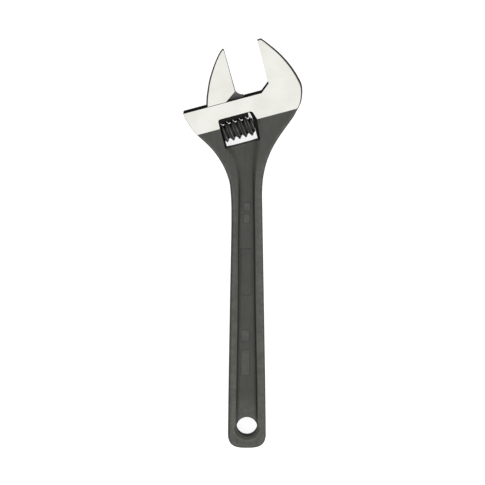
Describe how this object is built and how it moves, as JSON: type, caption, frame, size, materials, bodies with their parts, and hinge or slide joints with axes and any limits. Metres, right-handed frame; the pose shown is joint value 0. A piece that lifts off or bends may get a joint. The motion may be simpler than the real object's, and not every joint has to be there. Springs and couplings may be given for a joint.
{
  "type": "adjustable wrench",
  "caption": "Adjustable wrench with a forged I-section handle, a sliding jaw driven by a thumb knurl, an angled head and a hanging hole.",
  "frame": {"origin": "middle of the wrench's footprint, in the plane of the head's back face", "axes": "+Y along the handle towards the head, +X towards the fixed jaw's side, +Z out of the front face"},
  "size_m": [0.108, 0.381, 0.0206],
  "materials": {
    "forging": "black phosphate on forged steel, with ground head faces",
    "ground_steel": "fine ground",
    "blacked_steel": "black oxide, slightly oiled",
    "spring_steel": "drawn wire"
  },
  "bodies": {
    "frame": {"body": "forging", "knurl_pin": "blacked_steel", "pin_spring": "spring_steel"},
    "jaw": {"movable_jaw": "ground_steel"},
    "thumb_knurl": {"knurl": "blacked_steel"}
  },
  "joints": [
    {"name": "knurl_spin", "type": "hinge", "parent": "frame", "child": "thumb_knurl", "pos_m": [-0.00466, 0.10793, 0.0103], "axis": [0.9659, 0.2588, 0], "range_deg": [-1942, 785]},
    {"name": "jaw_slide", "type": "slide", "parent": "frame", "child": "jaw", "axis": [-0.9659, -0.2588, 0], "range_m": [-0.031, 0.0125]}
  ],
  "couplings": [
    {"joint": "knurl_spin", "follows": "jaw_slide", "rad_per_m": 1083.3}
  ]
}
